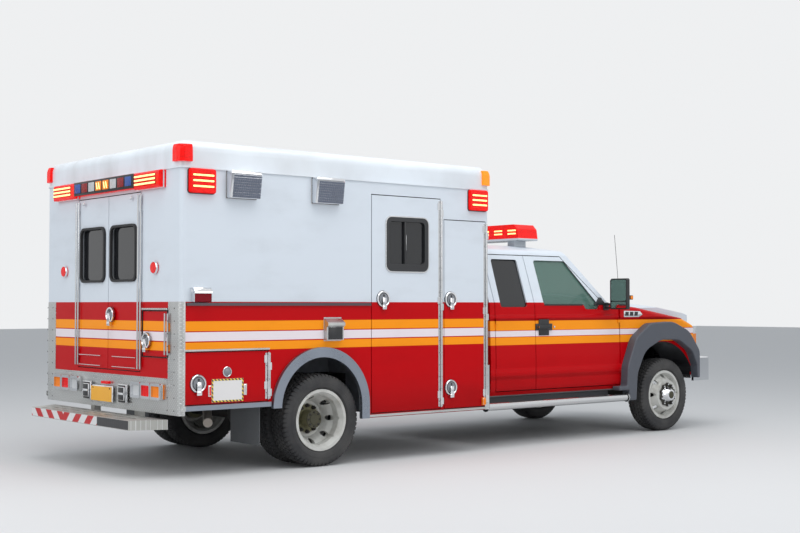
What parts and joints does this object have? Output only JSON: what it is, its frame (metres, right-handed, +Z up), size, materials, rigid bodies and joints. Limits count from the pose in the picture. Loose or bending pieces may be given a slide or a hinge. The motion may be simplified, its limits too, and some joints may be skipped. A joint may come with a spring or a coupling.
{
  "type": "ambulance",
  "caption": "Truck-chassis ambulance with an extended cab, square patient module, opening doors, lockers and hood, steered front wheels and twin rear wheels.",
  "frame": {"origin": "bottom centre of the whole vehicle's box, on the ground", "axes": "+X forward, +Y to the vehicle's left, +Z up"},
  "size_m": [7.354, 2.704, 2.668],
  "materials": {
    "frame": "satin black",
    "engine": "rough",
    "axle": "rough",
    "tank": "satin",
    "exhaust": "weathered",
    "rubber": "matt",
    "step": "textured",
    "bright": "polished",
    "chrome": "polished",
    "cab_paint": "gloss red with white upper half and stripes",
    "module_paint": "gloss white with red lower half and stripes",
    "roof_paint": "gloss white",
    "glass": "clear, slightly green",
    "dark_glass": "dark tint",
    "flare": "grained",
    "lamp_clear": "clear lens",
    "interior": "woven",
    "floor": "speckled vinyl",
    "furniture": "laminate",
    "red_lamp": "lens",
    "scene_lamp": "ribbed lens",
    "wheel": "pale grey, worn",
    "tyre": "matt",
    "mirror_shell": "grained black"
  },
  "bodies": {
    "chassis": {"frame_rails": "frame", "engine": "engine", "axles": "axle", "fuel_tank": "tank", "exhaust": "exhaust", "mud_flaps": "rubber", "rear_step": "step", "running_boards": "bright", "front_bumper": "chrome", "cab_shell": "cab_paint", "windscreen": "glass", "front_fenders": "cab_paint", "wheel_flares": "flare", "grille": "chrome", "headlamps": "lamp_clear", "cab_interior": "interior", "module_floor": "floor", "module_front_wall": "module_paint", "module_rear_wall": "module_paint", "module_right_wall": "module_paint", "module_left_wall": "module_paint", "module_roof": "roof_paint", "patient_furniture": "furniture", "body_trim": "bright", "warning_lamps": "red_lamp", "scene_lamps": "scene_lamp", "tail_lamps": "red_lamp"},
    "knuckle_right": {"knuckle_right": "axle"},
    "front_wheel_right": {"front_wheel_right": "wheel", "front_tyre_right": "tyre"},
    "rear_wheels_right": {"rear_wheels_right": "wheel", "rear_tyres_right": "tyre"},
    "cab_door_right": {"cab_door_right": "cab_paint", "cab_glass_right": "glass", "mirror_right": "mirror_shell"},
    "rear_cab_door_right": {"rear_cab_door_right": "cab_paint", "rear_cab_glass_right": "dark_glass"},
    "knuckle_left": {"knuckle_left": "axle"},
    "front_wheel_left": {"front_wheel_left": "wheel", "front_tyre_left": "tyre"},
    "rear_wheels_left": {"rear_wheels_left": "wheel", "rear_tyres_left": "tyre"},
    "cab_door_left": {"cab_door_left": "cab_paint", "cab_glass_left": "glass", "mirror_left": "mirror_shell"},
    "rear_cab_door_left": {"rear_cab_door_left": "cab_paint", "rear_cab_glass_left": "dark_glass"},
    "entry_door": {"entry_door": "module_paint", "entry_glass": "dark_glass"},
    "front_locker_door_right": {"front_locker_door_right": "module_paint"},
    "rear_locker_door_right": {"rear_locker_door_right": "module_paint"},
    "front_locker_door_left": {"front_locker_door_left": "module_paint"},
    "middle_locker_door_left": {"middle_locker_door_left": "module_paint"},
    "rear_locker_door_left": {"rear_locker_door_left": "module_paint"},
    "rear_door_right": {"rear_door_right": "module_paint", "rear_glass_right": "dark_glass"},
    "rear_door_left": {"rear_door_left": "module_paint", "rear_glass_left": "dark_glass"},
    "corner_locker_door": {"corner_locker_door": "module_paint"},
    "hood": {"hood": "cab_paint"}
  },
  "joints": [
    {"name": "steer_right", "type": "hinge", "parent": "chassis", "child": "knuckle_right", "pos_m": [2.707, -0.804, 0.392], "axis": [0, 0, 1], "range_deg": [-35, 35]},
    {"name": "front_wheel_right_spin", "type": "hinge", "parent": "knuckle_right", "child": "front_wheel_right", "pos_m": [2.707, -0.944, 0.392], "axis": [0, 1, 0], "continuous": true},
    {"name": "rear_wheels_right_spin", "type": "hinge", "parent": "chassis", "child": "rear_wheels_right", "pos_m": [-2.013, -0.948, 0.392], "axis": [0, 1, 0], "continuous": true},
    {"name": "cab_door_right_hinge", "type": "hinge", "parent": "chassis", "child": "cab_door_right", "pos_m": [2.007, -1.018, 0.9], "axis": [0, 0, 1], "range_deg": [0, 68]},
    {"name": "rear_cab_door_right_hinge", "type": "hinge", "parent": "chassis", "child": "rear_cab_door_right", "pos_m": [0.19, -1.018, 0.9], "axis": [0, 0, -1], "range_deg": [0, 80]},
    {"name": "steer_left", "type": "hinge", "parent": "chassis", "child": "knuckle_left", "pos_m": [2.707, 0.804, 0.392], "axis": [0, 0, 1], "range_deg": [-35, 35]},
    {"name": "front_wheel_left_spin", "type": "hinge", "parent": "knuckle_left", "child": "front_wheel_left", "pos_m": [2.707, 0.944, 0.392], "axis": [0, 1, 0], "continuous": true},
    {"name": "rear_wheels_left_spin", "type": "hinge", "parent": "chassis", "child": "rear_wheels_left", "pos_m": [-2.013, 0.948, 0.392], "axis": [0, 1, 0], "continuous": true},
    {"name": "cab_door_left_hinge", "type": "hinge", "parent": "chassis", "child": "cab_door_left", "pos_m": [2.007, 1.018, 0.9], "axis": [0, 0, -1], "range_deg": [0, 68]},
    {"name": "rear_cab_door_left_hinge", "type": "hinge", "parent": "chassis", "child": "rear_cab_door_left", "pos_m": [0.19, 1.018, 0.9], "axis": [0, 0, 1], "range_deg": [0, 80]},
    {"name": "entry_door_hinge", "type": "hinge", "parent": "chassis", "child": "entry_door", "pos_m": [-0.695, -1.216, 1], "axis": [0, 0, 1], "range_deg": [0, 95]},
    {"name": "front_locker_door_right_hinge", "type": "hinge", "parent": "chassis", "child": "front_locker_door_right", "pos_m": [-0.129, -1.216, 1], "axis": [0, 0, 1], "range_deg": [0, 100]},
    {"name": "rear_locker_door_right_hinge", "type": "hinge", "parent": "chassis", "child": "rear_locker_door_right", "pos_m": [-2.579, -1.216, 0.8], "axis": [0, 0, 1], "range_deg": [0, 100]},
    {"name": "front_locker_door_left_hinge", "type": "hinge", "parent": "chassis", "child": "front_locker_door_left", "pos_m": [-0.129, 1.216, 1], "axis": [0, 0, -1], "range_deg": [0, 100]},
    {"name": "middle_locker_door_left_hinge", "type": "hinge", "parent": "chassis", "child": "middle_locker_door_left", "pos_m": [-0.713, 1.216, 1], "axis": [0, 0, -1], "range_deg": [0, 100]},
    {"name": "rear_locker_door_left_hinge", "type": "hinge", "parent": "chassis", "child": "rear_locker_door_left", "pos_m": [-2.579, 1.216, 0.8], "axis": [0, 0, -1], "range_deg": [0, 100]},
    {"name": "rear_door_right_hinge", "type": "hinge", "parent": "chassis", "child": "rear_door_right", "pos_m": [-3.406, -0.566, 1.5], "axis": [0, 0, 1], "range_deg": [0, 100]},
    {"name": "rear_door_left_hinge", "type": "hinge", "parent": "chassis", "child": "rear_door_left", "pos_m": [-3.406, 0.566, 1.5], "axis": [0, 0, -1], "range_deg": [0, 100]},
    {"name": "corner_locker_door_hinge", "type": "hinge", "parent": "chassis", "child": "corner_locker_door", "pos_m": [-3.406, -1.014, 1.1], "axis": [0, 0, 1], "range_deg": [0, 100]},
    {"name": "hood_hinge", "type": "hinge", "parent": "chassis", "child": "hood", "pos_m": [1.976, 0, 1.392], "axis": [0, -1, 0], "range_deg": [0, 55]}
  ],
  "couplings": [
    {"joint": "steer_left", "follows": "steer_right", "ratio": 1}
  ]
}
